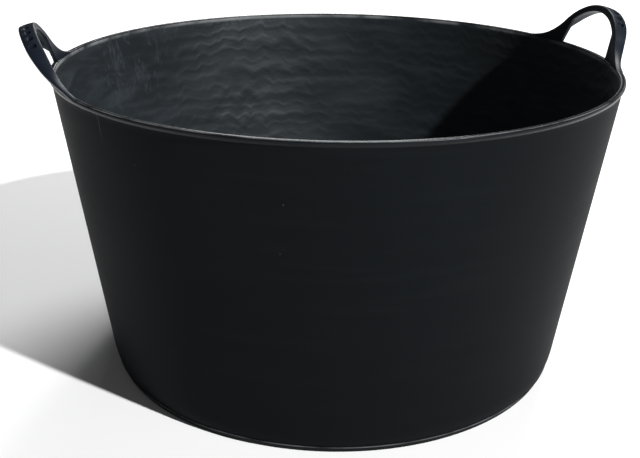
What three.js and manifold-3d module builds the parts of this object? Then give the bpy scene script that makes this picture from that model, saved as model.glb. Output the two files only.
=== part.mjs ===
// A large flexible rubber bucket: a tapered round tub with a flared lip and two strap handles.
// Millimetres, +Z up, standing on z = 0 with its centre line on the Z axis and a handle on each X side.
import * as THREE from "three";
import { mergeVertices } from "three/addons/utils/BufferGeometryUtils.js";
import Module from "manifold-3d";

const wasm = await Module();
wasm.setup();

// Tub: overall sizes and the tapered wall
const rimRadius = 279;
const rimHeight = 300;
const wallThickness = 3.5;
const heelHeight = 24;
const heelCurveHeight = 12;

// Rim lip: a flat top, a rounded edge and a hollow underside that dies into the wall
const lipReach = 3.5;
const lipDrop = 13;
const lipEdgeHeight = 3.2;
const lipEdgeRadius = 1.8;
const lipInnerRadius = 1.2;
const lipHollowOutShare = 0.3;
const lipHollowUpShare = 0.6;

// Base: a foot band that stands proud of the wall, a web inside it and the floor
const footRadius = 229.6;
const heelReach = 4.2;
const footHeight = 6;
const footProud = 0.9;
const footDraft = 2.6;
const footWidth = 7;
const footEdge = 0.9;
const webSlope = 2.5;
const baseClearance = 2.5;
const floorThickness = 4.5;
const floorSeamInset = 12.8;
const floorFilletHeight = 22;
const floorFilletRun = 3.4;
const webSeatThickness = 1.6;

// Injection point under the middle of the floor
const gateRadius = 9;
const gateDepth = 1.2;
const nubRadius = 2;
const nubHeight = 0.7;

// Handles: the outline of the strap, unrolled along the rim
const crestHeight = 47;
const crestRadius = 72;
const flareRadius = 68;
const handleLean = THREE.MathUtils.degToRad(17);
const leanHeight = 26;
const strapWidth = 14.5;
const strapThickness = 5;
const strapCrown = 0.6;
const strapEdge = 1.1;
const ridgeDepth = 1.6;
const webThickness = 4;
const holeHalfWidth = 50;
const shoulderHalfWidth = 42;
const rootDepth = 3;
const flangeEndWidth = 5.2;
const flangeFullShare = 0.34;
const flangeGoneShare = 0.88;
const flexHeight = 15;
const cornerShare = 0.5;
const edgeThicknessShare = 0.33;

// Finger grip: a row of pockets pressed into the outer face of the strap
const pocketCount = 9;
const pocketPitch = 10.2;
const pocketRadius = 2.9;
const pocketDepth = 2.4;
const pocketStretchShare = 1.2;
const pocketPlaceShare = 0.54;

// Clearance between touching pieces, overrun of the cutters, and how close points are joined
const seatGap = 0.3;
const overrun = 20;
const weldGap = 0.03;

// How finely round forms are cut
const roundSides = 96;
const curveSteps = 5;
const pocketSides = 10;
const crestStations = 24;
const flareStations = 10;

// Sizes that follow from the ones above
const lipBottom = rimHeight - lipDrop;
const wallTopRadius = rimRadius - lipReach;
const heelRadius = footRadius + heelReach;
const wallSlope = (wallTopRadius - heelRadius) / (lipBottom - heelHeight);
const floorTop = baseClearance + floorThickness;
const webTop = baseClearance + webSeatThickness;
const footInnerRadius = footRadius - footDraft - footWidth;
const floorSeamRadius = footInnerRadius - floorSeamInset;
const lipInnerTop = innerRadiusAt(rimHeight);

function outerRadiusAt(height) {
  return wallTopRadius + wallSlope * (height - lipBottom);
}

function innerRadiusAt(height) {
  return outerRadiusAt(height) - wallThickness;
}

// Helpers for solids

function toSolid(geometry) {
  const bare = geometry.clone();
  bare.deleteAttribute("normal");
  bare.deleteAttribute("uv");
  const merged = mergeVertices(bare);
  const mesh = new wasm.Mesh({
    numProp: 3,
    vertProperties: Float32Array.from(merged.attributes.position.array),
    triVerts: Uint32Array.from(merged.index.array),
  });
  return new wasm.Manifold(mesh);
}

function toGeometry(solid) {
  const mesh = solid.getMesh();
  const geometry = new THREE.BufferGeometry();
  geometry.setAttribute("position", new THREE.BufferAttribute(mesh.vertProperties, 3));
  geometry.setIndex(new THREE.BufferAttribute(mesh.triVerts, 1));
  const flat = welded(geometry).toNonIndexed();
  flat.computeVertexNormals();
  return flat;
}

// Closes the hairline triangles that a cut leaves beside an old edge.
function welded(geometry) {
  const joined = mergeVertices(geometry, weldGap);
  const index = Array.from(joined.index.array);
  const kept = [];
  for (let i = 0; i < index.length; i += 3) {
    const [a, b, c] = index.slice(i, i + 3);
    if (a !== b && b !== c && c !== a) {
      kept.push(a, b, c);
    }
  }
  joined.setIndex(kept);
  return joined;
}

// Points of a quadratic curve from one point to another, bent towards a third.
function bend(from, towards, to, steps = curveSteps) {
  const curve = new THREE.QuadraticBezierCurve(
    new THREE.Vector2(...from),
    new THREE.Vector2(...towards),
    new THREE.Vector2(...to),
  );
  return curve.getPoints(steps).map((p) => [p.x, p.y]);
}

// Turns a closed outline of [radius, height] points round the centre line.
function revolve(outline) {
  const points = outline.map(([radius, height]) => new THREE.Vector2(radius, height));
  const geometry = new THREE.LatheGeometry(points, roundSides);
  geometry.rotateX(Math.PI / 2);
  return geometry;
}

// Tub pieces

function wallGeometry() {
  const top = lipBottom - seatGap / 2;
  const seat = footHeight + seatGap;
  const filletTop = floorTop + floorFilletHeight;
  const outer = bend(
    [footRadius - footProud, seat],
    [outerRadiusAt(heelCurveHeight), heelCurveHeight],
    [outerRadiusAt(heelHeight), heelHeight],
  );
  const inner = bend(
    [innerRadiusAt(filletTop), filletTop],
    [innerRadiusAt(floorTop) - floorFilletRun, floorTop],
    [floorSeamRadius, floorTop],
    curveSteps + 1,
  );
  const start = [footInnerRadius + webSlope, seat];
  return revolve([
    start,
    ...outer,
    [outerRadiusAt(top), top],
    [innerRadiusAt(top), top],
    ...inner,
    [floorSeamRadius, webTop + seatGap],
    [footInnerRadius, webTop + seatGap],
    start,
  ]);
}

function footGeometry() {
  const start = [floorSeamRadius, baseClearance];
  const footing = footRadius - footDraft;
  return revolve([
    start,
    [footInnerRadius - baseClearance / 2, baseClearance],
    [footInnerRadius, 0],
    [footing - footEdge, 0],
    [footing, footEdge],
    [footRadius, footHeight - footEdge],
    [footRadius - footEdge, footHeight],
    [footInnerRadius + webSlope, footHeight],
    [footInnerRadius, webTop],
    [floorSeamRadius, webTop],
    start,
  ]);
}

function floorGeometry() {
  const edge = floorSeamRadius - seatGap;
  const gateTop = baseClearance + gateDepth;
  return revolve([
    [0, gateTop - nubHeight],
    [nubRadius, gateTop - nubHeight],
    [nubRadius, gateTop],
    [gateRadius, gateTop],
    [gateRadius + gateDepth, baseClearance],
    [edge, baseClearance],
    [edge, floorTop],
    [0, floorTop],
  ]);
}

function lipGeometry() {
  const bottom = lipBottom + seatGap / 2;
  const start = [innerRadiusAt(bottom), bottom];
  const edgeBottom = rimHeight - lipEdgeHeight;
  const foot = [outerRadiusAt(bottom), bottom];
  const nose = [rimRadius - lipEdgeRadius, edgeBottom - lipEdgeRadius];
  const hollow = [
    THREE.MathUtils.lerp(foot[0], nose[0], lipHollowOutShare),
    THREE.MathUtils.lerp(foot[1], nose[1], lipHollowUpShare),
  ];
  return revolve([
    start,
    ...bend(foot, hollow, nose, curveSteps - 2).slice(0, -1),
    ...bend(
      nose,
      [rimRadius, edgeBottom],
      [rimRadius, edgeBottom + lipEdgeRadius / 2],
      curveSteps - 2,
    ),
    ...bend(
      [rimRadius, rimHeight - lipEdgeRadius],
      [rimRadius, rimHeight],
      [rimRadius - lipEdgeRadius, rimHeight],
      curveSteps - 2,
    ),
    ...bend(
      [lipInnerTop + lipInnerRadius, rimHeight],
      [lipInnerTop, rimHeight],
      [innerRadiusAt(rimHeight - lipInnerRadius), rimHeight - lipInnerRadius],
      curveSteps - 2,
    ),
    start,
  ]);
}

// Handle outline. Along is measured round the rim from the middle of the handle, up from the rim's top.

const crestCentre = crestHeight - crestRadius;
const arcSum = crestRadius + flareRadius;
const flareEnd = Math.sqrt(arcSum ** 2 - (flareRadius - crestCentre) ** 2);
const joinAngle = Math.atan2(flareEnd, flareRadius - crestCentre);

// A point on the outer edge of the strap, and the direction into the strap there.
function crestPoint(angle) {
  const into = [-Math.sin(angle), -Math.cos(angle)];
  return { at: [crestRadius * Math.sin(angle), crestCentre + crestRadius * Math.cos(angle)], into };
}

function flarePoint(angle) {
  const into = [-Math.sin(angle), -Math.cos(angle)];
  const at = [flareEnd + flareRadius * into[0], flareRadius + flareRadius * into[1]];
  return { at, into };
}

function mix(a, b, share) {
  return [a[0] + (b[0] - a[0]) * share, a[1] + (b[1] - a[1]) * share];
}

// The stations of half a handle, from the crest to the end of its flare. Each holds the outer edge,
// the underside of the strap and the edge of the web below it.
function halfStations() {
  const shoulderAngle = Math.asin(shoulderHalfWidth / (crestRadius - strapThickness - ridgeDepth));
  const stations = [];
  const half = crestStations / 2;
  for (let i = 0; i <= half; i += 1) {
    const { at, into } = crestPoint((shoulderAngle * i) / half);
    const depth = strapThickness + ridgeDepth;
    stations.push({
      outer: at,
      under: [at[0] + into[0] * strapThickness, at[1] + into[1] * strapThickness],
      edge: [at[0] + into[0] * depth, at[1] + into[1] * depth],
    });
  }
  const shoulder = stations[half].edge;
  const corner = [holeHalfWidth, -rootDepth];
  const end = [flareEnd, -rootDepth];
  for (let i = 1; i <= flareStations; i += 1) {
    const share = i / flareStations;
    const crestPart = Math.min(1, share / cornerShare);
    const flarePart = Math.max(0, (share - cornerShare) / (1 - cornerShare));
    const onCrest = share <= cornerShare;
    const crestAngle = shoulderAngle + (joinAngle - shoulderAngle) * crestPart;
    const { at, into } = onCrest ? crestPoint(crestAngle) : flarePoint(joinAngle * (1 - flarePart));
    const room = (at[1] + rootDepth) / 2;
    const thickness = Math.min(strapThickness, room);
    stations.push({
      outer: at,
      under: [at[0] + into[0] * thickness, at[1] + into[1] * thickness],
      edge: onCrest ? mix(shoulder, corner, crestPart) : mix(corner, end, flarePart),
    });
  }
  return stations;
}

function mirrored(station) {
  const flip = ([along, up]) => [-along, up];
  return { outer: flip(station.outer), under: flip(station.under), edge: flip(station.edge) };
}

// The strap is full width round the crest and narrows down its legs until only the web is left at the rim.
function widthAt(along) {
  const full = flareEnd * flangeFullShare;
  const fade = THREE.MathUtils.smoothstep(Math.abs(along), full, flareEnd * flangeGoneShare);
  return THREE.MathUtils.lerp(strapWidth, flangeEndWidth, fade);
}

// Places a point of the unrolled handle: along the rim, up from it, and out from the strap's inner face.
function onRim(along, up, out) {
  const azimuth = along / rimRadius;
  const lean = handleLean * THREE.MathUtils.smoothstep(up, 0, leanHeight);
  const radius = lipInnerTop + Math.tan(handleLean) * up + out * Math.cos(lean);
  const height = rimHeight + up - out * Math.sin(lean);
  return new THREE.Vector3(radius * Math.cos(azimuth), radius * Math.sin(azimuth), height);
}

// One cross-section: a crowned strap with the web standing under its inner edge.
function sectionPoints({ outer, under, edge }) {
  const width = widthAt(outer[0]);
  const thickness = Math.hypot(under[0] - outer[0], under[1] - outer[1]);
  const flange = (width - webThickness) * edgeThicknessShare;
  const rounding = Math.min(strapEdge, flange, thickness * edgeThicknessShare);
  const deep = (depth) => mix(outer, under, depth / thickness);
  const webLength = Math.hypot(edge[0] - under[0], edge[1] - under[1]);
  const fillet = Math.min(strapEdge, flange, webLength / 2);
  const plan = [
    [deep(rounding), 0],
    [deep(0), rounding],
    [deep(-strapCrown), width / 2],
    [deep(0), width - rounding],
    [deep(rounding), width],
    [deep(thickness - rounding), width],
    [deep(thickness), width - rounding],
    [deep(thickness), webThickness + fillet],
    [mix(under, edge, fillet / webLength), webThickness],
    [edge, webThickness],
    [edge, 0],
  ];
  return plan.map(([[along, up], out]) => onRim(along, up, out));
}

// Joins a row of sections of equal point counts into one closed body.
function loft(sections) {
  const count = sections[0].length;
  const positions = sections.flat().flatMap((p) => [p.x, p.y, p.z]);
  const triangles = [];
  for (let i = 0; i + 1 < sections.length; i += 1) {
    for (let j = 0; j < count; j += 1) {
      const next = (j + 1) % count;
      const a = i * count + j;
      const b = i * count + next;
      const c = (i + 1) * count + j;
      const d = (i + 1) * count + next;
      triangles.push(a, b, c, b, d, c);
    }
  }
  const webStart = count - 3;
  const last = (sections.length - 1) * count;
  const cap = [];
  for (let j = 1; j < webStart - 1; j += 1) {
    cap.push([0, j, j + 1]);
  }
  cap.push([0, webStart - 1, webStart], [0, webStart, count - 1], [webStart, webStart + 1, count - 1]);
  for (const [a, b, c] of cap) {
    triangles.push(a, c, b, last + a, last + b, last + c);
  }
  const geometry = new THREE.BufferGeometry();
  geometry.setAttribute("position", new THREE.Float32BufferAttribute(positions, 3));
  geometry.setIndex(triangles);
  return geometry;
}

// The whole handle in one body, on the +X side, before it is parted into its loop and its flexing roots.
function handleSolid() {
  const half = halfStations();
  const stations = [...half.slice(1).reverse().map(mirrored), ...half];
  return toSolid(loft(stations.map(sectionPoints)));
}

// A pocket in the outer face of the strap, at a distance along the crest from its middle.
function pocketSolid(distance) {
  const angle = distance / crestRadius;
  const { at, into } = crestPoint(angle);
  const out = strapWidth * pocketPlaceShare;
  const mouth = onRim(at[0] - into[0] * pocketDepth, at[1] - into[1] * pocketDepth, out);
  const bottom = onRim(at[0] + into[0] * pocketDepth, at[1] + into[1] * pocketDepth, out);
  const outward = onRim(at[0], at[1], out + strapEdge).sub(onRim(at[0], at[1], out)).normalize();
  const axis = mouth.clone().sub(bottom);
  const length = axis.length();
  axis.normalize();
  const side = new THREE.Vector3().crossVectors(axis, outward).normalize();
  const geometry = new THREE.CylinderGeometry(pocketRadius, pocketRadius, length, pocketSides);
  geometry.scale(pocketStretchShare, 1, 1);
  const place = new THREE.Matrix4().makeBasis(outward, axis, side.negate());
  place.setPosition(mouth.add(bottom).multiplyScalar(0.5));
  geometry.applyMatrix4(place);
  return toSolid(geometry);
}

// A slab that covers a whole handle between two heights.
function slabSolid(bottom, top, fromAlong, toAlong) {
  const depth = rimRadius;
  const geometry = new THREE.BoxGeometry(depth, toAlong - fromAlong, top - bottom);
  geometry.translate(rimRadius, (fromAlong + toAlong) / 2, (bottom + top) / 2);
  return toSolid(geometry);
}

function loopGeometry(handle) {
  const bottom = rimHeight + flexHeight + seatGap / 2;
  const top = rimHeight + crestHeight + overrun;
  let loop = handle.intersect(slabSolid(bottom, top, -flareEnd - overrun, flareEnd + overrun));
  for (let i = 0; i < pocketCount; i += 1) {
    loop = loop.subtract(pocketSolid((i - (pocketCount - 1) / 2) * pocketPitch));
  }
  return toGeometry(loop);
}

function rootGeometry(handle) {
  const bottom = rimHeight + seatGap;
  const top = rimHeight + flexHeight - seatGap / 2;
  return toGeometry(handle.intersect(slabSolid(bottom, top, 0, flareEnd + overrun)));
}

// Finishes and assembly

function rubber(color, roughness) {
  return new THREE.MeshStandardMaterial({ color, roughness, metalness: 0 });
}

function piece(name, geometry, material) {
  const mesh = new THREE.Mesh(geometry, material);
  mesh.name = name;
  return mesh;
}

// Mirrors a piece of the +X handle across the tub, keeping its faces outward.
function across(geometry, flipX, flipY) {
  const turned = geometry.clone();
  turned.scale(flipX ? -1 : 1, flipY ? -1 : 1, 1);
  if (flipX !== flipY) {
    const position = turned.attributes.position;
    for (let i = 0; i < position.count; i += 3) {
      const first = new THREE.Vector3().fromBufferAttribute(position, i);
      const second = new THREE.Vector3().fromBufferAttribute(position, i + 1);
      position.setXYZ(i, second.x, second.y, second.z);
      position.setXYZ(i + 1, first.x, first.y, first.z);
    }
  }
  turned.computeVertexNormals();
  return turned;
}

function tub() {
  const group = new THREE.Group();
  group.add(piece("side_wall", wallGeometry(), rubber(0x16191b, 0.55)));
  group.add(piece("foot_ring", footGeometry(), rubber(0x1a1b1c, 0.6)));
  group.add(piece("floor_panel", floorGeometry(), rubber(0x15181a, 0.6)));
  group.add(piece("rim_lip", lipGeometry(), rubber(0x20252b, 0.5)));
  return group;
}

function handles() {
  const group = new THREE.Group();
  const handle = handleSolid();
  const loop = loopGeometry(handle);
  const root = rootGeometry(handle);
  for (const [side, flipX] of [["right", false], ["left", true]]) {
    group.add(piece(`${side}_handle_loop`, across(loop, flipX, false), rubber(0x1c242d, 0.5)));
    for (const [end, flipY] of [["rear", false], ["front", true]]) {
      group.add(piece(`${side}_${end}_root_web`, across(root, flipX, flipY), rubber(0x1c2127, 0.5)));
    }
  }
  return group;
}

const bucket = new THREE.Group();
bucket.add(tub(), handles());

export default bucket;
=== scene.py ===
"""Looks of a large flexible rubber bucket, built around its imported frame.

The tub is dressed with fine turned skins and each handle with one continuous skin that bends at its roots.
Lengths are in metres, in the frame's own axes: +Z up and a handle on each X side.
"""

from __future__ import annotations

import logging
import math
from collections.abc import Callable
from dataclasses import dataclass
from enum import Enum

import bmesh
import bpy
import numpy as np
from mathutils import Matrix, Vector


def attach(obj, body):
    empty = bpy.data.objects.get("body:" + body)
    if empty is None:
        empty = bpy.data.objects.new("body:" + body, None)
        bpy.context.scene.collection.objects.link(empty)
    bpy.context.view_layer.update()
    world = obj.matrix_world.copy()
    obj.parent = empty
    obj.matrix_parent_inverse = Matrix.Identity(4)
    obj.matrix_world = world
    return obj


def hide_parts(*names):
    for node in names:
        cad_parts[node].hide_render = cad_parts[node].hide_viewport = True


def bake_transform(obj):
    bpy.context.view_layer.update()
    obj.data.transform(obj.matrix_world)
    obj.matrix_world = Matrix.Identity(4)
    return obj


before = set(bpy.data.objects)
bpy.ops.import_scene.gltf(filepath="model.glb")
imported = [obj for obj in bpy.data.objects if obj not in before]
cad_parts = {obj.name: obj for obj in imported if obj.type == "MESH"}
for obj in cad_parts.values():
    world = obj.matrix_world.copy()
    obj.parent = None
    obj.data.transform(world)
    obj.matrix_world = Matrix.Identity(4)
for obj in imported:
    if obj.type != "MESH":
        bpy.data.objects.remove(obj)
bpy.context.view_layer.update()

LOG = logging.getLogger("rubber_bucket")
MM = 0.001
Colour = tuple[float, float, float]
Scale = tuple[float, float, float]
Point = tuple[float, float]
Shift = Callable[[np.ndarray, np.ndarray, np.ndarray], np.ndarray]
ROUND_CREASE = 32.0
COOL_TINT = (0.90, 0.97, 1.0, 1.0)
SPECK: Colour = (0.10, 0.10, 0.10)
# Pale colour of worn edges. It is also painted as highlights along the rim's and foot's edges and along the
# witness lines.
PALE_WEAR_AND_HIGHLIGHT: Colour = (0.21, 0.22, 0.225)
SPECK_SIZE = 0.030
SPECK_SHARE = 0.5
SPECK_PICK = (0.80, 0.82)
SPECK_CORE = 0.5
LINE_SHARE = 0.13
LINE_DEPTH = 0.25 * MM
LINE_CORE = 0.4
LINE_FADE = 12 * MM
PALE_PATCH_CORE = 0.35
# Sizes of the pale edge lines: wear, and painted highlights.
EDGE_LINE_CORE = 0.3
EDGE_LINE_FADE = 0.3 * MM
BUMP_SCALE = 1 * MM
MERGE_DISTANCE = 1e-7
FLAT_DISTANCE = 1e-8
FACE_TOLERANCE = 1e-5


class Side(Enum):
    """The side of the tub that a handle stands on."""

    RIGHT = 1
    LEFT = -1

    @property
    def word(self) -> str:
        """The side's name as the frame writes it."""
        return self.name.lower()


class Slot(Enum):
    """Names for material slots."""

    TUB = "tub_rubber"
    RIM = "rim_rubber"
    HANDLE = "handle_rubber"


# Shader building


@dataclass(frozen=True, eq=False)
class Wire:
    """One output socket of a shader node, which can stand in sums."""

    shader: Shader
    socket: bpy.types.NodeSocket

    def __add__(self, other: Wire | float) -> Wire:
        """Sum."""
        return self.shader.maths("ADD", self, other)

    def __radd__(self, other: float) -> Wire:
        """Sum with a number on the left."""
        return self.shader.maths("ADD", other, self)

    def __sub__(self, other: Wire | float) -> Wire:
        """Difference."""
        return self.shader.maths("SUBTRACT", self, other)

    def __rsub__(self, other: float) -> Wire:
        """Difference from a number on the left."""
        return self.shader.maths("SUBTRACT", other, self)

    def __mul__(self, other: Wire | float) -> Wire:
        """Product."""
        return self.shader.maths("MULTIPLY", self, other)

    def __pow__(self, other: float) -> Wire:
        """Power."""
        return self.shader.maths("POWER", self, other)

    def between(self, low: float, high: float) -> Wire:
        """A soft step of this value from 0 at low to 1 at high.

        Args:
            low: The value that gives 0.
            high: The value that gives 1.

        Returns:
            The step, clamped at both ends.
        """
        made = self.shader.node(
            "ShaderNodeMapRange",
            {"interpolation_type": "SMOOTHSTEP"},
            {"Value": self, "From Min": low, "From Max": high},
        )
        return Wire(self.shader, made.outputs["Result"])

    def near(self, width: float, core: float) -> Wire:
        """1 from 0 to a share of a width, fading to 0 at the whole width."""
        return 1 - self.between(width * core, width)


class Shader:
    """A material being built from nodes."""

    def __init__(self, name: str) -> None:
        """Makes an empty material.

        Args:
            name: The material's name.
        """
        self.material = bpy.data.materials.new(name)
        self.material.use_nodes = True
        self.tree = self.material.node_tree
        self.tree.nodes.clear()
        self.output = self.node("ShaderNodeOutputMaterial", {}, {})
        self.place = Wire(self, self.node("ShaderNodeTexCoord", {}, {}).outputs["Object"])

    def node(self, kind: str, settings: dict[str, object], sockets: dict[str, object]) -> bpy.types.Node:
        """Adds a node.

        Args:
            kind: The node's type.
            settings: Its own settings, which are set first.
            sockets: Values or wires for its inputs, by name or number.

        Returns:
            The node.
        """
        made = self.tree.nodes.new(kind)
        for key, value in settings.items():
            setattr(made, key, value)
        for key, value in sockets.items():
            target = made.inputs[key]
            if isinstance(value, Wire):
                self.tree.links.new(value.socket, target)
            else:
                target.default_value = value
        return made

    def maths(self, operation: str, *values: Wire | float) -> Wire:
        """The result of a Math node."""
        made = self.node("ShaderNodeMath", {"operation": operation}, dict(enumerate(values)))
        return Wire(self, made.outputs[0])

    def stretched(self, scale: Scale) -> Wire:
        """The place on the object, stretched by the repeats a metre along X, Y and Z."""
        made = self.node("ShaderNodeVectorMath", {"operation": "MULTIPLY"}, {0: self.place, 1: scale})
        return Wire(self, made.outputs[0])

    def noise(self, cloud: Cloud) -> Wire:
        """Cloudy noise.

        Args:
            cloud: Its sizes.

        Returns:
            The noise, about 0.5 on average.
        """
        sizes = {"Scale": 1.0, "Detail": cloud.detail, "Distortion": cloud.distortion}
        made = self.node("ShaderNodeTexNoise", {}, {"Vector": self.stretched(cloud.scale), **sizes})
        return Wire(self, made.outputs["Fac"])

    def blotches(self, cloud: Cloud) -> Wire:
        """The part of a cloudy noise that shows, from 0 to 1."""
        return self.noise(cloud).between(cloud.low, cloud.high)

    def specks(self, scale: float) -> Wire:
        """Small round specks scattered on some of the cells of a grid.

        Args:
            scale: Cells a metre.

        Returns:
            1 on a speck and 0 elsewhere.
        """
        cells = self.node(
            "ShaderNodeTexVoronoi",
            {"feature": "F1"},
            {"Vector": self.place, "Scale": scale, "Randomness": 1.0},
        )
        near = Wire(self, cells.outputs["Distance"]).near(SPECK_SIZE, SPECK_CORE)
        pick = self.node("ShaderNodeSeparateColor", {}, {"Color": Wire(self, cells.outputs["Color"])})
        return near * Wire(self, pick.outputs["Red"]).between(*SPECK_PICK)

    def coordinates(self) -> tuple[Wire, Wire, Wire]:
        """The place on the object as three numbers."""
        parts = self.node("ShaderNodeSeparateXYZ", {}, {"Vector": self.place})
        return tuple(Wire(self, parts.outputs[axis]) for axis in "XYZ")

    def flow_marks(self, marks: FlowMarks) -> Wire:
        """Wrinkles that run level round a wall and waver up and down.

        Args:
            marks: Their sizes.

        Returns:
            Their height, from 0 to 1.
        """
        height = self.coordinates()[2]
        sway = self.noise(marks.zigzag) * marks.sway + self.noise(marks.drift) * marks.drift_sway
        turn = (height + sway) * (2 * math.pi / marks.pitch)
        ridge = (self.maths("SINE", turn) * 0.5 + 0.5) ** 2.0
        fine = self.noise(marks.fine) * (1 - marks.ridge_share)
        return ridge * self.blotches(marks.patch) * marks.ridge_share + fine

    def witness_line(self, line: WitnessLine) -> Wire:
        """The line that a mould's insert leaves at each handle's roots.

        Args:
            line: Its place and sizes.

        Returns:
            1 on the line and 0 elsewhere.
        """
        x, y, z = self.coordinates()
        angle = self.maths("ARCTAN2", self.maths("ABSOLUTE", y), self.maths("ABSOLUTE", x))
        off = self.maths("ABSOLUTE", angle - line.angle - (z - line.top) * line.lean)
        return off.near(line.width, LINE_CORE) * z.between(line.bottom, line.bottom + LINE_FADE)

    def mix(self, share: Wire | float, first: Wire | Colour, second: Wire | Colour) -> Wire:
        """A colour between two.

        Args:
            share: 0 for the first and 1 for the second.
            first: The first colour.
            second: The second colour.

        Returns:
            The mixed colour.
        """
        first, second = (c if isinstance(c, Wire) else (*c, 1.0) for c in (first, second))
        made = self.node("ShaderNodeMix", {"data_type": "RGBA"}, {"Factor": share, 6: first, 7: second})
        return Wire(self, made.outputs[2])

    def bump(self, height: Wire) -> Wire:
        """A normal bent by a height.

        Args:
            height: The height in metres.

        Returns:
            The normal.
        """
        scaled = height * (1 / BUMP_SCALE)
        made = self.node("ShaderNodeBump", {}, {"Height": scaled, "Distance": BUMP_SCALE, "Strength": 1.0})
        return Wire(self, made.outputs["Normal"])

    def finish(self, shader: bpy.types.Node) -> bpy.types.Material:
        """Joins the last shader to the output and hands over the material."""
        self.tree.links.new(shader.outputs[0], self.output.inputs["Surface"])
        return self.material


@dataclass(frozen=True)
class Cloud:
    """Sizes of a cloudy noise.

    Attributes:
        scale: Repeats a metre along X, Y and Z.
        detail: How many finer layers it has.
        distortion: How far it swirls.
        low, high: The values from which it starts to show and shows in full.
    """

    scale: Scale
    detail: float
    distortion: float = 0.0
    low: float = 0.0
    high: float = 1.0


@dataclass(frozen=True)
class FlowMarks:
    """Sizes of the wrinkles that the flow of the rubber left in the wall.

    Attributes:
        pitch: The height from one wrinkle to the next, in metres.
        sway: How far a wrinkle wavers, in metres.
        drift_sway: How far a run of wrinkles rises or falls, in metres.
        height: Their height, in metres.
        ridge_share: The wrinkles' share of the relief. The rest is fine.
        zigzag: How a wrinkle wavers.
        drift: How a run of wrinkles rises and falls.
        fine: The fine relief between them.
        patch: How they come and go.
    """

    pitch: float
    sway: float
    drift_sway: float
    height: float
    ridge_share: float
    zigzag: Cloud
    drift: Cloud
    fine: Cloud
    patch: Cloud


@dataclass(frozen=True)
class WitnessLine:
    """The line that a mould's insert leaves at each handle's roots. Angles are in radians, heights in metres.

    Attributes:
        angle, lean: Its angle from the handle's middle at its top, and how that changes in a metre of height.
        top, bottom: The heights of its top and of where it fades out.
        width: Its width as an angle.
    """

    angle: float
    top: float
    bottom: float
    lean: float
    width: float


@dataclass(frozen=True)
class PalePatch:
    """A patch of pale marks on the inner wall, which starts at one height and is full at another. Used for
    scuffs and for a painted highlight.
    """

    place: Point
    reach: float
    heights: Point
    share: float


@dataclass(frozen=True)
class EdgeWearAndHighlight:
    """Pale lines along a rim's edges, down to a bottom height: wear, and painted highlights where the edges
    catch the light. All but the share are in metres.
    """

    radii: tuple[float, ...]
    width: float
    bottom: float
    share: float


LONG_MARKS_SHOW = (0.42, 0.72)
# Long marks, clouds, scratches and grain in the pale film, and all but the clouds in the relief
FILM_SHARES = (0.65, 0.35, 0.25, 0.5)
RELIEF_SHARES = (0.25, 0.25, 0.5)
# Share of the painted highlight and shade on the wrinkles.
WRINKLE_HIGHLIGHT_SHARE = 0.35
WRINKLE_MEAN = 0.3
CLOUDS = Cloud(scale=(9.0, 9.0, 12.0), detail=3.0, distortion=0.4, low=0.40, high=0.75)
SCRATCHES = Cloud(scale=(60.0, 60.0, 1400.0), detail=2.0, low=0.60, high=0.74)
GRAIN = Cloud(scale=(900.0, 900.0, 900.0), detail=2.0)
RAGGED = Cloud(scale=(40.0, 40.0, 18.0), detail=4.0, distortion=1.6, low=0.46, high=0.60)
HANGING = Cloud(scale=(230.0, 230.0, 45.0), detail=4.0, distortion=1.6, low=0.50, high=0.60)
EDGE_BREAKS = Cloud(scale=(25.0, 25.0, 25.0), detail=4.0, low=0.30, high=0.62)


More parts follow.
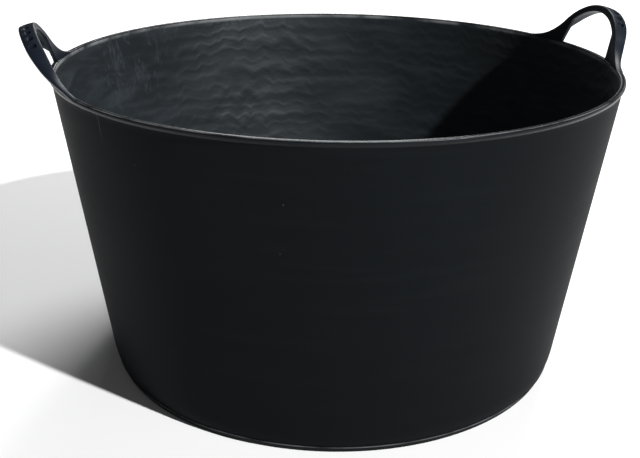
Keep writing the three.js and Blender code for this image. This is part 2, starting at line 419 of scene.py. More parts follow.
@dataclass(frozen=True)
class RubberFinish:
    """A satin black rubber skin as it leaves the mould, with handling marks.

    Attributes:
        name, base: The material's name and colour.
        dust_and_sheen, film_and_sheen: The colour of the pale film that handling leaves, which also carries
            painted highlights on the inner wall, and how much of it shows, from 0 to 1.
        roughness, spread: The average roughness, and how far it wanders over the surface.
        gloss: The strength of its reflections.
        grain: The height of its fine grain, in metres.
        streaks: Repeats a metre of its long marks along X, Y and Z.
        matte: How evenly it scatters light, from 0 to 1.
        specks: How many pale specks a metre lie on it, or 0 for none.
        marks, line, pale_patches, edges: Its flow marks, witness line, pale patches (scuffs, and a painted
            highlight) and pale edge lines (wear, and painted highlights), if any.
    """

    name: str
    base: Colour
    dust_and_sheen: Colour
    film_and_sheen: float
    roughness: float
    spread: float
    gloss: float
    grain: float
    streaks: Scale
    matte: float = 0.0
    specks: float = 38.0
    marks: FlowMarks | None = None
    line: WitnessLine | None = None
    pale_patches: tuple[PalePatch, ...] = ()
    edges: EdgeWearAndHighlight | None = None

    def build(self) -> bpy.types.Material:
        """Makes the material.

        Returns:
            The material.
        """
        s = Shader(self.name)
        long_marks = s.noise(Cloud(self.streaks, detail=5.0, distortion=0.6))
        clouds = s.noise(CLOUDS)
        scratches = s.blotches(SCRATCHES)
        grain = s.noise(GRAIN)
        clouds_shown = clouds.between(CLOUDS.low, CLOUDS.high)
        haze = (long_marks.between(*LONG_MARKS_SHOW), clouds_shown, scratches, grain - 0.5)
        film_and_sheen = sum(layer * share for layer, share in zip(haze, FILM_SHARES))
        relief = sum(layer * share for layer, share in zip((long_marks, scratches, grain), RELIEF_SHARES))
        height = relief * self.grain
        # Pale patches: scuffs, and a painted highlight under the back of the rim.
        for pale_patch in self.pale_patches:
            film_and_sheen = film_and_sheen + self._scuffs_and_highlight(s, pale_patch)
        if self.marks:
            wrinkles = s.flow_marks(self.marks)
            height = height + wrinkles * self.marks.height
            # The wrinkles are also painted into the colour: a painted highlight on their crests and painted
            # shade between them.
            film_and_sheen = film_and_sheen + (wrinkles - WRINKLE_MEAN) * WRINKLE_HIGHLIGHT_SHARE
        colour = s.mix(film_and_sheen * self.film_and_sheen, self.base, self.dust_and_sheen)
        # Pale lines along the edges: wear, and painted highlights where the edges catch the light.
        if self.edges:
            colour = s.mix(self._edge_wear_and_highlight(s, self.edges), colour, PALE_WEAR_AND_HIGHLIGHT)
        if self.specks:
            colour = s.mix(s.specks(self.specks) * SPECK_SHARE, colour, SPECK)
        # The witness line is sunk into the relief and painted pale: a painted highlight along the crease.
        if self.line:
            groove = s.witness_line(self.line)
            colour = s.mix(groove * LINE_SHARE, colour, PALE_WEAR_AND_HIGHLIGHT)
            height = height - groove * LINE_DEPTH
        rough = clouds * self.spread + long_marks * self.spread + (self.roughness - self.spread)
        shader = s.node(
            "ShaderNodeBsdfPrincipled",
            {},
            {
                "Base Color": colour,
                "Roughness": rough,
                "Normal": s.bump(height),
                "Specular IOR Level": self.gloss,
                "Specular Tint": COOL_TINT,
                "Diffuse Roughness": self.matte,
            },
        )
        return s.finish(shader)

    @staticmethod
    def _scuffs_and_highlight(s: Shader, pale_patch: PalePatch) -> Wire:
        """Pale ragged marks that hang down a patch of the wall, for scuffs and for a painted highlight.

        Args:
            s: The shader.
            pale_patch: The patch.

        Returns:
            How pale each place is.
        """
        x, y, z = s.coordinates()
        away = ((x - pale_patch.place[0]) ** 2.0 + (y - pale_patch.place[1]) ** 2.0) ** 0.5
        patch = away.near(pale_patch.reach, PALE_PATCH_CORE) * z.between(*pale_patch.heights)
        return s.blotches(RAGGED) * s.blotches(HANGING) * patch * pale_patch.share

    @staticmethod
    def _edge_wear_and_highlight(s: Shader, edges: EdgeWearAndHighlight) -> Wire:
        """How pale each place along a rim's edges is, from wear and from painted highlights.

        Args:
            s: The shader.
            edges: The edges, their wear and their painted highlights.

        Returns:
            A share from 0 to 1.
        """
        x, y, z = s.coordinates()
        radius = (x * x + y * y) ** 0.5
        edge_breaks = s.blotches(EDGE_BREAKS)
        away = (s.maths("ABSOLUTE", radius - edge) for edge in edges.radii)
        wear_and_highlight = sum(off.near(edges.width, EDGE_LINE_CORE) * edge_breaks for off in away)
        return wear_and_highlight * z.between(edges.bottom, edges.bottom + EDGE_LINE_FADE) * edges.share


@dataclass(frozen=True)
class PlainFinish:
    """A matt studio surface."""

    name: str
    colour: Colour
    roughness: float

    def build(self) -> bpy.types.Material:
        """Makes the material.

        Returns:
            The material.
        """
        s = Shader(self.name)
        shader = s.node(
            "ShaderNodeBsdfPrincipled",
            {},
            {"Base Color": (*self.colour, 1.0), "Roughness": self.roughness, "Specular IOR Level": 0.0},
        )
        return s.finish(shader)


OUTER_SKIN = RubberFinish(
    name="outer_skin",
    base=(0.0048, 0.0057, 0.0066),
    dust_and_sheen=(0.012, 0.0137, 0.0145),
    film_and_sheen=0.18,
    roughness=0.56,
    spread=0.10,
    gloss=0.02,
    grain=0.06 * MM,
    streaks=(7.0, 7.0, 120.0),
    line=WitnessLine(angle=math.radians(29.6), top=300 * MM, bottom=270 * MM, lean=0.0, width=0.0028),
)
INNER_SKIN = RubberFinish(
    name="inner_skin",
    base=(0.0105, 0.0130, 0.0150),
    dust_and_sheen=(0.025, 0.031, 0.036),
    film_and_sheen=0.85,
    roughness=0.46,
    spread=0.10,
    gloss=0.34,
    grain=0.10 * MM,
    streaks=(14.0, 14.0, 60.0),
    marks=FlowMarks(
        pitch=13 * MM,
        sway=22 * MM,
        drift_sway=15.4 * MM,
        height=0.28 * MM,
        ridge_share=0.6,
        zigzag=Cloud((60.0, 60.0, 18.0), detail=1.5),
        drift=Cloud((9.0, 9.0, 9.0), detail=1.0),
        fine=Cloud((96.0, 96.0, 180.0), detail=3.0),
        patch=Cloud((12.6, 12.6, 18.0), detail=2.0, low=0.30, high=0.52),
    ),
    line=WitnessLine(angle=math.radians(18.7), top=297 * MM, bottom=286 * MM, lean=21.0, width=0.0022),
    # Pale line along the rim's inner top edge: a painted highlight, with some wear.
    edges=EdgeWearAndHighlight(radii=(273.85 * MM,), width=0.65 * MM, bottom=290 * MM, share=0.9),
    matte=1.0,
    pale_patches=(
        PalePatch(place=(-0.186, 0.194), reach=0.075, heights=(0.19, 0.27), share=1.9),
        # A painted highlight under the back of the rim's inner edge, broken up like scuffs.
        PalePatch(place=(-0.115, 0.247), reach=0.15, heights=(0.284, 0.296), share=1.8),
    ),
)
FOOT_SKIN = RubberFinish(
    name="foot_skin",
    base=(0.0044, 0.0053, 0.0062),
    dust_and_sheen=(0.012, 0.0137, 0.0145),
    film_and_sheen=0.36,
    roughness=0.50,
    spread=0.10,
    gloss=0.04,
    grain=0.06 * MM,
    streaks=(7.0, 7.0, 60.0),
    # Pale line along the foot band's top edge: a painted highlight, with some wear.
    edges=EdgeWearAndHighlight(radii=(229.4 * MM,), width=0.7 * MM, bottom=5.0 * MM, share=0.38),
)
RIM_SKIN = RubberFinish(
    name="rim_skin",
    base=(0.0036, 0.0044, 0.0056),
    dust_and_sheen=(0.012, 0.014, 0.017),
    film_and_sheen=0.40,
    roughness=0.28,
    spread=0.06,
    gloss=0.10,
    grain=0.04 * MM,
    streaks=(10.0, 10.0, 120.0),
    specks=0.0,
    # Pale lines along the lip's inner and outer top edges: painted highlights, with some wear.
    edges=EdgeWearAndHighlight(radii=(274.7 * MM, 278.0 * MM), width=0.8 * MM, bottom=297.9 * MM, share=0.42),
)
HANDLE_SKIN = RubberFinish(
    name="handle_skin",
    base=(0.0036, 0.0056, 0.0105),
    dust_and_sheen=(0.010, 0.014, 0.022),
    film_and_sheen=0.40,
    roughness=0.40,
    spread=0.08,
    gloss=0.18,
    grain=0.05 * MM,
    streaks=(30.0, 30.0, 30.0),
    specks=0.0,
)
PALE_FLOOR = PlainFinish(name="pale_floor", colour=(0.92, 0.92, 0.92), roughness=1.0)


# Mesh building


def smoothstep(value: np.ndarray | float, low: float, high: float) -> np.ndarray:
    """A soft step of each value from 0 at low to 1 at high."""
    share = np.clip((np.asarray(value, float) - low) / (high - low), 0.0, 1.0)
    return share * share * (3 - 2 * share)


def bend(start: Point, towards: Point, end: Point, steps: int) -> list[Point]:
    """Points of a quadratic curve, ends included.

    Args:
        start: Its first point.
        towards: The corner that it is drawn to.
        end: Its last point.
        steps: How many stretches it has.

    Returns:
        The points.
    """
    points = []
    for i in range(steps + 1):
        t = i / steps
        weights = ((1 - t) ** 2, 2 * t * (1 - t), t * t)
        points.append(tuple(sum(w * p[k] for w, p in zip(weights, (start, towards, end))) for k in (0, 1)))
    return points


def straight(start: Point, end: Point, step: float) -> list[Point]:
    """Points of a straight stretch, about a step apart, without its last one."""
    count = max(1, round(math.dist(start, end) / step))
    return [tuple(a + (b - a) * i / count for a, b in zip(start, end)) for i in range(count)]


def make_object(
    name: str, points: np.ndarray, faces: list[tuple[int, ...]], crease: float
) -> bpy.types.Object:
    """Makes a closed object from points and faces.

    Args:
        name: The object's name.
        points: Its points, one row each.
        faces: Its faces as rows of point numbers.
        crease: The angle, in degrees, from which an edge stays sharp.

    Returns:
        The object, with its faces outward.
    """
    mesh = bpy.data.meshes.new(name)
    mesh.from_pydata(points.tolist(), [], faces)
    work = bmesh.new()
    work.from_mesh(mesh)
    bmesh.ops.remove_doubles(work, verts=work.verts, dist=MERGE_DISTANCE)
    bmesh.ops.dissolve_degenerate(work, edges=work.edges, dist=FLAT_DISTANCE)
    bmesh.ops.recalc_face_normals(work, faces=work.faces)
    work.to_mesh(mesh)
    work.free()
    mesh.shade_smooth()
    mesh.set_sharp_from_angle(angle=math.radians(crease))
    made = bpy.data.objects.new(name, mesh)
    bpy.context.scene.collection.objects.link(made)
    return made


def revolve(name: str, outline: list[Point], steps: int, shift: Shift | None = None) -> bpy.types.Object:
    """Turns a closed outline round the centre line.

    Args:
        name: The object's name.
        outline: Points of radius and height, in order.
        steps: How many stretches the round has.
        shift: How far each point moves outwards, from its angle, radius and height.

    Returns:
        The object.
    """
    radius, height = (np.array(column)[None, :] for column in zip(*outline))
    angle = np.linspace(0, 2 * math.pi, steps, endpoint=False)[:, None]
    radius = radius + (shift(angle, radius, height) if shift else 0 * angle)
    points = np.stack([radius * np.cos(angle), radius * np.sin(angle), height + 0 * angle], -1).reshape(-1, 3)
    count = len(outline)
    faces = []
    for i in range(steps):
        here, there = i * count, (i + 1) % steps * count
        for j in range(count):
            k = (j + 1) % count
            faces.append((here + j, there + j, there + k, here + k))
    return make_object(name, points, faces, ROUND_CREASE)


def loft(name: str, rows: np.ndarray, crease: float) -> bpy.types.Object:
    """Joins closed cross-sections into one body with flat ends.

    Args:
        name: The object's name.
        rows: Sections, points and coordinates.
        crease: The angle, in degrees, from which an edge stays sharp.

    Returns:
        The object.
    """
    sections, count, _ = rows.shape
    faces = []
    for i in range(sections - 1):
        for j in range(count):
            k = (j + 1) % count
            faces.append((i * count + j, i * count + k, (i + 1) * count + k, (i + 1) * count + j))
    faces.append(tuple(range(count)))
    faces.append(tuple(range((sections - 1) * count, sections * count)))
    return make_object(name, rows.reshape(-1, 3), faces, crease)


def dress(piece: bpy.types.Object, *materials: bpy.types.Material) -> None:
    """Gives a piece its materials.

    Args:
        piece: The piece.
        materials: Its materials, in the order of its material slots.
    """
    piece.data.materials.clear()
    for material in materials:
        piece.data.materials.append(material)


# The tub


@dataclass(frozen=True)
class Waves:
    """A count of random waves round the wall, with the fewest and the most crests that one may have.

    The climb is how fast a wave may change with height, in radians a metre.
    """

    count: int
    turns: tuple[int, int]
    climb: float

    def draw(self, dice: np.random.Generator) -> np.ndarray:
        """Draws the waves.

        Args:
            dice: Where the random numbers come from.

        Returns:
            A row of crests, climb and phase for each wave.
        """
        crests = dice.integers(*self.turns, self.count)
        climbs = dice.uniform(-self.climb, self.climb, self.count)
        return np.stack([crests, climbs, dice.uniform(0, 2 * math.pi, self.count)], -1)


ZIGZAG_WAVES = Waves(count=9, turns=(26, 78), climb=70.0)
DRIFT_WAVES = Waves(count=5, turns=(2, 9), climb=12.0)
PATCH_WAVES = Waves(count=7, turns=(3, 16), climb=45.0)


@dataclass
class Tub:
    """The turned part of the bucket: wall, lip, foot and floor.

    Its sizes are the ones that the solids of the frame were made from.
    """

    rim_radius: float = 279 * MM
    rim_height: float = 300 * MM
    wall_thickness: float = 3.5 * MM
    heel_reach: float = 4.2 * MM
    heel_height: float = 24 * MM
    heel_curve_height: float = 12 * MM
    lip_reach: float = 3.5 * MM
    lip_drop: float = 13 * MM
    lip_edge_height: float = 3.2 * MM
    lip_edge_radius: float = 1.8 * MM
    lip_inner_radius: float = 1.2 * MM
    lip_hollow_out_share: float = 0.3
    lip_hollow_up_share: float = 0.6
    foot_radius: float = 229.6 * MM
    foot_height: float = 6 * MM
    foot_proud: float = 0.9 * MM
    foot_draft: float = 2.6 * MM
    foot_width: float = 7 * MM
    foot_edge: float = 0.9 * MM
    foot_edge_draft_share: float = 0.3
    band_edge_draft_share: float = 0.2
    web_slope: float = 2.5 * MM
    base_clearance: float = 2.5 * MM
    floor_thickness: float = 4.5 * MM
    floor_seam_inset: float = 12.8 * MM
    floor_fillet_height: float = 22 * MM
    floor_fillet_run: float = 3.4 * MM
    web_seat_thickness: float = 1.6 * MM
    gate_radius: float = 9 * MM
    gate_depth: float = 1.2 * MM
    nub_radius: float = 2 * MM
    nub_height: float = 0.7 * MM
    wrinkle_pitch: float = 29 * MM
    wrinkle_height: float = 0.45 * MM
    wrinkle_sway: float = 1.6 * MM
    wrinkle_drift: float = 4 * MM
    wrinkle_rise: float = 2 * MM
    wrinkle_seed: int = 11
    wrinkle_sharpness: float = 2.5
    wrinkle_patch_shows: Point = (-1.6, 1.2)
    wrinkle_starts: Point = (30 * MM, 60 * MM)
    wrinkle_ends: Point = (276 * MM, 286 * MM)
    wall_step: float = 8 * MM
    floor_step: float = 12 * MM
    heel_steps: int = 14
    fillet_steps: int = 20
    lip_steps: int = 10
    lip_edge_steps: int = 8
    foot_steps: int = 5
    band_steps: int = 6
    round_steps: int = 480

    def __post_init__(self) -> None:
        """Works out the sizes that follow from the others."""
        self.lip_bottom = self.rim_height - self.lip_drop
        self.wall_top_radius = self.rim_radius - self.lip_reach
        self.heel_radius = self.foot_radius + self.heel_reach
        self.wall_slope = (self.wall_top_radius - self.heel_radius) / (self.lip_bottom - self.heel_height)
        self.floor_top = self.base_clearance + self.floor_thickness
        self.web_top = self.base_clearance + self.web_seat_thickness
        self.foot_inner_radius = self.foot_radius - self.foot_draft - self.foot_width
        self.floor_seam_radius = self.foot_inner_radius - self.floor_seam_inset
        self.lip_inner_top = self.inner(self.rim_height)
        dice = np.random.default_rng(self.wrinkle_seed)
        self.zigzags, self.drifts, self.patches = (
            waves.draw(dice) for waves in (ZIGZAG_WAVES, DRIFT_WAVES, PATCH_WAVES)
        )

    def outer(self, height: float) -> float:
        """The wall's outer radius at a height."""
        return self.wall_top_radius + self.wall_slope * (height - self.lip_bottom)

    def inner(self, height: float) -> float:
        """The wall's inner radius at a height."""
        return self.outer(height) - self.wall_thickness

    @staticmethod
    def _swell(waves: np.ndarray, angle: np.ndarray, height: np.ndarray) -> np.ndarray:
        """The sum of waves at each place, which is mostly between -3 and 3."""
        return sum(np.sin(turns * angle + climb * height + phase) for turns, climb, phase in waves)

    def wrinkles(self, angle: np.ndarray, radius: np.ndarray, height: np.ndarray) -> np.ndarray:
        """The level wrinkles that the flow of the rubber left in the inner wall.

        Args:
            angle: The angle of each place round the centre line.
            radius: The radius of each place.
            height: The height of each place.

        Returns:
            How far each place stands outwards, which is none on the outer wall and inwards at a wrinkle.
        """
        sway = self._swell(self.zigzags, angle, height) * self.wrinkle_sway
        drift = self._swell(self.drifts, angle, height) * self.wrinkle_drift
        turn = (height + sway + drift) * 2 * math.pi / self.wrinkle_pitch
        crest = (0.5 + 0.5 * np.sin(turn)) ** self.wrinkle_sharpness
        patch = smoothstep(self._swell(self.patches, angle, height), *self.wrinkle_patch_shows)
        inside = np.abs(radius - self.inner(height)) < self.wall_thickness / 4
        fade = smoothstep(height, *self.wrinkle_starts) * (1 - smoothstep(height, *self.wrinkle_ends))
        return -self.wrinkle_height * crest * patch * inside * fade

    def build_wall(self) -> bpy.types.Object:
        """Builds the tapered wall with its heel and inner fillet.

        Returns:
            The wall's skin.
        """
        fillet_top = self.floor_top + self.floor_fillet_height
        heel = bend(
            (self.foot_radius - self.foot_proud, self.foot_height),
            (self.outer(self.heel_curve_height), self.heel_curve_height),
            (self.outer(self.heel_height), self.heel_height),
            self.heel_steps,
        )
        fillet = bend(
            (self.inner(fillet_top), fillet_top),
            (self.inner(self.floor_top) - self.floor_fillet_run, self.floor_top),
            (self.floor_seam_radius, self.floor_top),
            self.fillet_steps,
        )
        top_out = (self.wall_top_radius, self.lip_bottom)
        top_in = (self.inner(self.lip_bottom), self.lip_bottom)
        outline = [
            *heel[:-1],
            *straight(heel[-1], top_out, self.wall_step),
            top_out,
            *straight(top_in, fillet[0], self.wrinkle_rise),
            *fillet,
            (self.floor_seam_radius, self.web_top),
            (self.foot_inner_radius, self.web_top),
            (self.foot_inner_radius + self.web_slope, self.foot_height),
        ]
        return self._turn("side_wall_skin", outline, "side_wall", shift=self.wrinkles)

    def build_lip(self) -> bpy.types.Object:
        """Builds the flared lip with its rounded edges.

        Returns:
            The lip's skin.
        """
        edge_bottom = self.rim_height - self.lip_edge_height
        r, h, e, i = self.rim_radius, self.rim_height, self.lip_edge_radius, self.lip_inner_radius
        nose = (r - e, edge_bottom - e)
        foot = (self.wall_top_radius, self.lip_bottom)
        hollow = (
            foot[0] + (nose[0] - foot[0]) * self.lip_hollow_out_share,
            foot[1] + (nose[1] - foot[1]) * self.lip_hollow_up_share,
        )
        top_in = (self.lip_inner_top + i, h)
        outline = [
            *bend(foot, hollow, nose, self.lip_steps)[:-1],
            *bend(nose, (r, edge_bottom), (r, edge_bottom + e / 2), self.lip_edge_steps),
            *bend((r, h - e), (r, h), (r - e, h), self.lip_steps),
            *bend(top_in, (self.lip_inner_top, h), (self.inner(h - i), h - i), self.lip_edge_steps),
            (self.inner(self.lip_bottom), self.lip_bottom),
        ]
        return self._turn("rim_lip_skin", outline, "rim_lip")

    def build_foot(self) -> bpy.types.Object:
        """Builds the foot band with the flat ring that the bucket stands on.

        Returns:
            The foot's skin.
        """
        footing = self.foot_radius - self.foot_draft
        e = self.foot_edge
        outline = [
            (self.floor_seam_radius, self.base_clearance),
            (self.foot_inner_radius - self.base_clearance / 2, self.base_clearance),
            (self.foot_inner_radius, 0.0),
            *bend(
                (footing - e, 0.0),
                (footing, 0.0),
                (footing + self.foot_edge_draft_share * e, e),
                self.foot_steps,
            ),
            *bend(
                (self.foot_radius - self.band_edge_draft_share * e, self.foot_height - e),
                (self.foot_radius, self.foot_height),
                (self.foot_radius - e, self.foot_height),
                self.band_steps,
            ),
            (self.foot_inner_radius + self.web_slope, self.foot_height),
            (self.foot_inner_radius, self.web_top),
            (self.floor_seam_radius, self.web_top),
        ]
        return self._turn("foot_ring_skin", outline, "foot_ring")

    def build_floor(self) -> bpy.types.Object:
        """Builds the floor with the sunk injection point underneath.

        Returns:
            The floor's skin.
        """
        gate_top = self.base_clearance + self.gate_depth
        outline = [
            (0.0, gate_top - self.nub_height),
            (self.nub_radius, gate_top - self.nub_height),
            (self.nub_radius, gate_top),
            (self.gate_radius, gate_top),
            (self.gate_radius + self.gate_depth, self.base_clearance),
            (self.floor_seam_radius, self.base_clearance),
            (self.floor_seam_radius, self.floor_top),
            *straight((self.floor_seam_radius, self.floor_top), (0.0, self.floor_top), self.floor_step)[1:],
            (0.0, self.floor_top),
        ]
        return self._turn("floor_skin", outline, "floor_panel")

    def _turn(
        self, name: str, outline: list[Point], node: str, shift: Shift | None = None
    ) -> bpy.types.Object:
        """Turns a skin that rides on the tub in place of its solid.

        Args:
            name: The skin's name.
            outline: Points of radius and height, in order.
            node: The solid that it stands for.
            shift: How far each point moves outwards.

        Returns:
            The skin.
        """
        piece = revolve(name, outline, self.round_steps, shift)
        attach(piece, "tub")
        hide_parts(node)
        return piece

    def build(self) -> list[bpy.types.Object]:
        """Builds and dresses every skin of the tub.

        Returns:
            The skins.
        """
        outer, inner, rim, band = (finish.build() for finish in (OUTER_SKIN, INNER_SKIN, RIM_SKIN, FOOT_SKIN))
        pieces = [self.build_wall(), self.build_lip(), self.build_foot(), self.build_floor()]
        for piece, outside in zip(pieces, (outer, outer, band, outer)):
            self._dress(piece, outside, inner, rim)
        return pieces

    def _dress(self, piece: bpy.types.Object, *finishes: bpy.types.Material) -> None:
        """Gives each face the outer, the inner or the rim's finish.

        Args:
            piece: A turned skin.
            finishes: The outer, the inner and the rim's finish.
        """
        dress(piece, *finishes)
        nose_bottom = self.rim_height - self.lip_edge_height - self.lip_edge_radius
        inner_top = self.rim_height - self.lip_inner_radius
        for polygon in piece.data.polygons:
            centre, normal = polygon.center, polygon.normal
            spoke = Vector((centre.x, centre.y, 0.0))
            inside = normal.dot(spoke) < 0 and spoke.length > self.floor_seam_radius
            on_floor = normal.z > 0.5 and spoke.length < self.heel_radius
            if (inside or on_floor) and self.floor_top - FACE_TOLERANCE < centre.z < inner_top:
                polygon.material_index = 1
            elif centre.z > nose_bottom:
                polygon.material_index = 2


# The handles


@dataclass(frozen=True)
class Station:
    """One place along a strap, drawn flat: its outer edge, its underside and its web's edge.

    The run is the distance along the crest, or infinity on a leg.
    """

    outer: np.ndarray
    under: np.ndarray
    edge: np.ndarray
    run: float

    def mirrored(self) -> Station:
        """The same place on the strap's other half."""
        flip = np.array([-1.0, 1.0])
        return Station(self.outer * flip, self.under * flip, self.edge * flip, -self.run)


@dataclass
class Handle:
    """One strap handle: a crowned strap with a web under its inner edge, flaring into the rim at both ends.

    Along is measured round the rim from the middle of the handle, and up from the rim's top.
    """

    tub: Tub
    side: Side
    crest_height: float = 47 * MM
    crest_radius: float = 72 * MM
    flare_radius: float = 68 * MM
    lean: float = math.radians(17)
    lean_height: float = 26 * MM
    strap_width: float = 14.5 * MM
    strap_thickness: float = 5 * MM
    strap_crown: float = 0.6 * MM
    strap_edge: float = 1.1 * MM
    ridge_depth: float = 1.6 * MM
    web_thickness: float = 4 * MM
    hole_half_width: float = 50 * MM
    shoulder_half_width: float = 42 * MM
    root_depth: float = 3 * MM
    flange_end_width: float = 5.2 * MM
    flange_full_share: float = 0.34
    flange_gone_share: float = 0.88
    corner_share: float = 0.5
    pocket_count: int = 9
    pocket_pitch: float = 10.2 * MM
    pocket_radius: float = 2.9 * MM
    pocket_depth: float = 2.4 * MM
    pocket_stretch_share: float = 1.2
    pocket_place_share: float = 0.54
    pocket_reach_share: float = 1.5
    pocket_wall_shares: Point = (0.78, 1.04)
    web_edge: float = 0.8 * MM
    web_edge_share: float = 0.3
    web_fillet_share: float = 1.6
    under_shares: Point = (0.33, 0.66)
    inside_shares: Point = (0.35, 0.7)
    sink: float = 0.4 * MM
    sink_share: float = 0.86
    bend_start: float = 0.4 * MM
    bend_end: float = 14.6 * MM
    pivot_radius: float = 274.5 * MM
    crest_steps: int = 230
    flare_steps: int = 60
    face_points: int = 33
    round_points: int = 5
    fillet_points: int = 6
    crease: float = 40.0

    def __post_init__(self) -> None:
        """Works out where the crest's arc meets the flare's."""
        self.crest_centre = self.crest_height - self.crest_radius
        reach = self.crest_radius + self.flare_radius
        rise = self.flare_radius - self.crest_centre
        self.flare_end = math.sqrt(reach**2 - rise**2)
        self.join_angle = math.atan2(self.flare_end, rise)

    def on_crest(self, angle: float) -> tuple[np.ndarray, np.ndarray]:
        """A point of the strap's outer edge on the crest, and the direction into the strap."""
        into = np.array([-math.sin(angle), -math.cos(angle)])
        return np.array([0.0, self.crest_centre]) - self.crest_radius * into, into

    def on_flare(self, angle: float) -> tuple[np.ndarray, np.ndarray]:
        """A point of the strap's outer edge on the flare, and the direction into the strap."""
        into = np.array([-math.sin(angle), -math.cos(angle)])
        return np.array([self.flare_end, self.flare_radius]) + self.flare_radius * into, into

    def half_stations(self) -> list[Station]:
        """The stations of half a handle, from the crest to the end of its flare.

        Returns:
            The stations.
        """
        inner_crest = self.crest_radius - self.strap_thickness - self.ridge_depth
        shoulder_angle = math.asin(self.shoulder_half_width / inner_crest)
        depth = self.strap_thickness + self.ridge_depth
        stations = []
        half = self.crest_steps // 2
        for i in range(half + 1):
            angle = shoulder_angle * i / half
            at, into = self.on_crest(angle)
            under = at + into * self.strap_thickness
            stations.append(Station(at, under, at + into * depth, angle * self.crest_radius))
        shoulder = stations[-1].edge
        corner = np.array([self.hole_half_width, -self.root_depth])
        end = np.array([self.flare_end, -self.root_depth])
        for i in range(1, self.flare_steps + 1):
            share = i / self.flare_steps
            if share <= self.corner_share:
                part = share / self.corner_share
                at, into = self.on_crest(shoulder_angle + (self.join_angle - shoulder_angle) * part)
                edge = shoulder + (corner - shoulder) * part
            else:
                part = (share - self.corner_share) / (1 - self.corner_share)
                at, into = self.on_flare(self.join_angle * (1 - part))
                edge = corner + (end - corner) * part
            thickness = min(self.strap_thickness, (at[1] + self.root_depth) / 2)
            stations.append(Station(at, at + into * thickness, edge, math.inf))
        return stations

    def stations(self) -> list[Station]:
        """The stations of the whole handle, from one end to the other."""
        half = self.half_stations()
        return [station.mirrored() for station in reversed(half[1:])] + half

    def width_at(self, along: float) -> float:
        """The strap's width, which narrows down its legs until only the web is left.

        Args:
            along: The distance round the rim from the handle's middle.

        Returns:
            The width there.
        """
        full, gone = self.flare_end * self.flange_full_share, self.flare_end * self.flange_gone_share
        fade = float(smoothstep(abs(along), full, gone))
        return self.strap_width + (self.flange_end_width - self.strap_width) * fade

    def place(self, along: np.ndarray, up: np.ndarray, out: np.ndarray) -> np.ndarray:
        """Puts points of the unrolled handle on the rim.

        Args:
            along: Distances round the rim from the handle's middle.
            up: Heights over the rim's top.
            out: Distances out from the strap's inner face.

        Returns:
            The points in the frame.
        """
        azimuth = along / self.tub.rim_radius
        lean = self.lean * smoothstep(up, 0.0, self.lean_height)
        under = self.tub.wall_slope * up + self.sink * smoothstep(-up, 0.0, self.root_depth)
        inner = self.tub.lip_inner_top + np.where(up > 0, math.tan(self.lean) * up, under)
        radius = inner + out * np.cos(lean)
        dip = self.sink * smoothstep(np.abs(along), self.flare_end * self.sink_share, self.flare_end)
        height = self.tub.rim_height + up - dip - out * np.sin(lean)
        return np.stack([self.side.value * radius * np.cos(azimuth), radius * np.sin(azimuth), height], -1)

    def pocket_sink(self, run: float, out: np.ndarray) -> np.ndarray:
        """How deep the finger pockets sink the strap's outer face.

        Args:
            run: The distance along the crest.
            out: Distances across the strap.

        Returns:
            The depth at each distance across.
        """
        sink = np.zeros_like(out)
        if not math.isfinite(run):
            return sink
        middle = self.strap_width * self.pocket_place_share
        for i in range(self.pocket_count):
            place = (i - (self.pocket_count - 1) / 2) * self.pocket_pitch
            if abs(run - place) > self.pocket_reach_share * self.pocket_radius:
                continue
            across = (out - middle) / (self.pocket_radius * self.pocket_stretch_share)
            reach = np.sqrt(across**2 + ((run - place) / self.pocket_radius) ** 2)
            sink = np.maximum(sink, self.pocket_depth * (1 - smoothstep(reach, *self.pocket_wall_shares)))
        return sink

    def section(self, station: Station) -> np.ndarray:
        """One closed cross-section.

        Args:
            station: The place along the strap.

        Returns:
            Its points in the frame.
        """
        outer, under, edge = station.outer, station.under, station.edge
        width = self.width_at(outer[0])
        thickness = float(np.linalg.norm(under - outer))
        flange = (width - self.web_thickness) / 3
        rounding = min(self.strap_edge, flange, thickness / 3)
        into = (under - outer) / thickness
        web = edge - under
        web_length = float(np.linalg.norm(web))
        fillet = min(self.web_fillet_share * self.strap_edge, flange, web_length / 2)
        face = np.linspace(rounding, width - rounding, self.face_points)
        crown = self.strap_crown * (1 - ((2 * face - width) / width) ** 2)
        depth = self.pocket_sink(station.run, face) - crown
        points = [(outer + into * d, o) for d, o in zip(depth, face)]
        turn = np.linspace(0, math.pi / 2, self.round_points)
        edge_depth = float(depth[-1])
        for t in turn[1:]:
            lower = edge_depth + (rounding - edge_depth) * (1 - math.cos(t))
            points.append((outer + into * lower, width - rounding + rounding * math.sin(t)))
        for t in turn[1:]:
            lower = thickness - rounding + rounding * math.sin(t)
            points.append((outer + into * lower, width - rounding * (1 - math.cos(t))))
        for share in self.under_shares:
            points.append((under, (width - rounding) * (1 - share) + (self.web_thickness + fillet) * share))
        for t in np.linspace(0, math.pi / 2, self.fillet_points):
            points.append((
                under + web * (fillet / web_length) * (1 - math.cos(t)),
                self.web_thickness + fillet * (1 - math.sin(t)),
            ))
        small = min(self.web_edge, web_length / 4)
        cut = self.web_edge_share * small
        corner = ((small, 0.0), (cut, cut), (0.0, small))
        points += [(edge - web * (up / web_length), self.web_thickness - off) for up, off in corner]
        points += [(edge - web * (up / web_length), off) for up, off in reversed(corner)]
        points += [(edge - web * share, 0.0) for share in (*self.inside_shares, 1.0)]
        edge_depth = float(depth[0])
        for t in turn[:-1]:
            lower = rounding + (edge_depth - rounding) * math.sin(t)
            points.append((outer + into * lower, rounding * (1 - math.cos(t))))
        flat = np.array([(p[0], p[1], out) for p, out in points])
        return self.place(flat[:, 0], flat[:, 1], flat[:, 2])

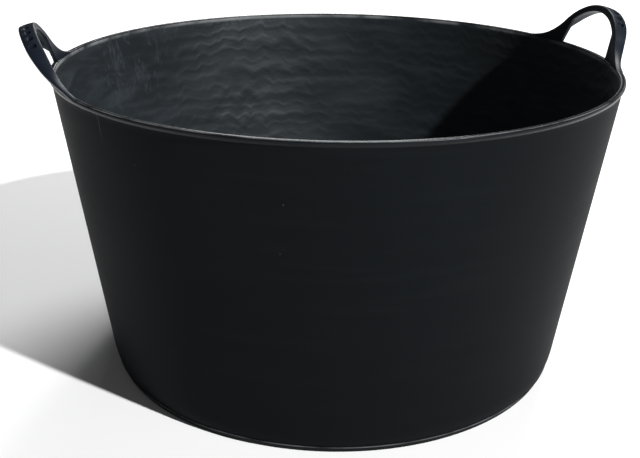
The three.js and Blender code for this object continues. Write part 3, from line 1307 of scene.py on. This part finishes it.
    def build(self) -> bpy.types.Object:
        """Builds the handle's skin in place of the handle's solids, which it hides.

        Returns:
            The skin.
        """
        rows = np.array([self.section(station) for station in self.stations()])
        word = self.side.word
        skin = loft(f"{word}_handle_skin", rows, self.crease)
        dress(skin, HANDLE_SKIN.build())
        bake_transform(skin)
        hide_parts(f"{word}_handle_loop", f"{word}_rear_root_web", f"{word}_front_root_web")
        return skin


# The studio


@dataclass(frozen=True)
class Softbox:
    """A square light that faces the bucket. Angles are in degrees, lengths in metres and power in watts."""

    name: str
    azimuth: float
    elevation: float
    distance: float
    size: float
    power: float


SOFTBOXES = (
    Softbox("key", azimuth=32.0, elevation=38.0, distance=7.0, size=0.2, power=740.0),
    Softbox("fill", azimuth=150.0, elevation=55.0, distance=4.0, size=2.0, power=140.0),
    Softbox("glint", azimuth=166.0, elevation=15.0, distance=4.0, size=1.2, power=20.0),
)


@dataclass
class Studio:
    """The floor, lights and camera around the bucket."""

    azimuth: float = math.radians(-15.3)
    elevation: float = math.radians(17.98)
    roll: float = math.radians(0.89)
    distance: float = 1.036
    target: float = 0.1962
    focal_px: float = 1004.0
    centre_px: Point = (336.1, 159.4)
    frame_px: Point = (640.0, 458.0)
    sensor: float = 36.0
    near: float = 0.02
    far: float = 60.0
    floor_size: float = 14.0
    sky: float = 0.08

    def back(self, azimuth: float, elevation: float) -> Vector:
        """The direction from the bucket to a viewer at an azimuth and elevation."""
        return Vector((
            math.sin(azimuth) * math.cos(elevation),
            -math.cos(azimuth) * math.cos(elevation),
            math.sin(elevation),
        ))

    def add_camera(self) -> None:
        """Places the camera at the photograph's viewpoint."""
        back = self.back(self.azimuth, self.elevation)
        level = Vector((math.cos(self.azimuth), math.sin(self.azimuth), 0.0))
        upright = back.cross(level)
        right = level * math.cos(self.roll) + upright * math.sin(self.roll)
        upward = back.cross(right)
        data = bpy.data.cameras.new("camera")
        width, height = self.frame_px
        data.sensor_width = self.sensor
        data.lens = self.focal_px * self.sensor / width
        data.shift_x = (width / 2 - self.centre_px[0]) / width
        data.shift_y = (self.centre_px[1] - height / 2) / width
        data.clip_start, data.clip_end = self.near, self.far
        camera = bpy.data.objects.new("camera", data)
        turn = Matrix((right, upward, back)).transposed().to_4x4()
        camera.matrix_world = Matrix.Translation(Vector((0, 0, self.target)) + back * self.distance) @ turn
        bpy.context.scene.collection.objects.link(camera)
        bpy.context.scene.camera = camera

    def add_floor(self) -> None:
        """Lays the pale floor."""
        half = self.floor_size / 2
        corners = [(-half, -half, 0), (half, -half, 0), (half, half, 0), (-half, half, 0)]
        mesh = bpy.data.meshes.new("floor")
        mesh.from_pydata(corners, [], [(0, 1, 2, 3)])
        floor = bpy.data.objects.new("floor", mesh)
        bpy.context.scene.collection.objects.link(floor)
        dress(floor, PALE_FLOOR.build())

    def add_light(self, box: Softbox) -> None:
        """Hangs a softbox that faces the bucket.

        Args:
            box: The softbox.
        """
        data = bpy.data.lights.new(box.name, "AREA")
        data.shape = "SQUARE"
        data.size, data.energy = box.size, box.power
        lamp = bpy.data.objects.new(box.name, data)
        back = self.back(math.radians(box.azimuth), math.radians(box.elevation))
        lamp.location = Vector((0, 0, self.target)) + back * box.distance
        lamp.rotation_mode = "QUATERNION"
        lamp.rotation_quaternion = (-back).to_track_quat("-Z", "Y")
        bpy.context.scene.collection.objects.link(lamp)

    def add_world(self) -> None:
        """Fills the studio with even white light."""
        world = bpy.data.worlds.new("studio")
        bpy.context.scene.world = world
        world.use_nodes = True
        sky = world.node_tree.nodes["Background"]
        sky.inputs["Color"].default_value = (1.0, 1.0, 1.0, 1.0)
        sky.inputs["Strength"].default_value = self.sky

    def build(self) -> None:
        """Sets the studio up."""
        bpy.context.scene.view_settings.view_transform = "Standard"
        self.add_floor()
        self.add_world()
        for box in SOFTBOXES:
            self.add_light(box)
        self.add_camera()


def main() -> None:
    """Builds the bucket and its studio in order."""
    logging.basicConfig(level=logging.INFO, format="%(message)s")
    studio = Studio()
    studio.build()
    tub = Tub()
    for piece in [*tub.build(), *(Handle(tub, side).build() for side in Side)]:
        LOG.info("%s: %d points", piece.name, len(piece.data.vertices))


if __name__ == "__main__":
    main()
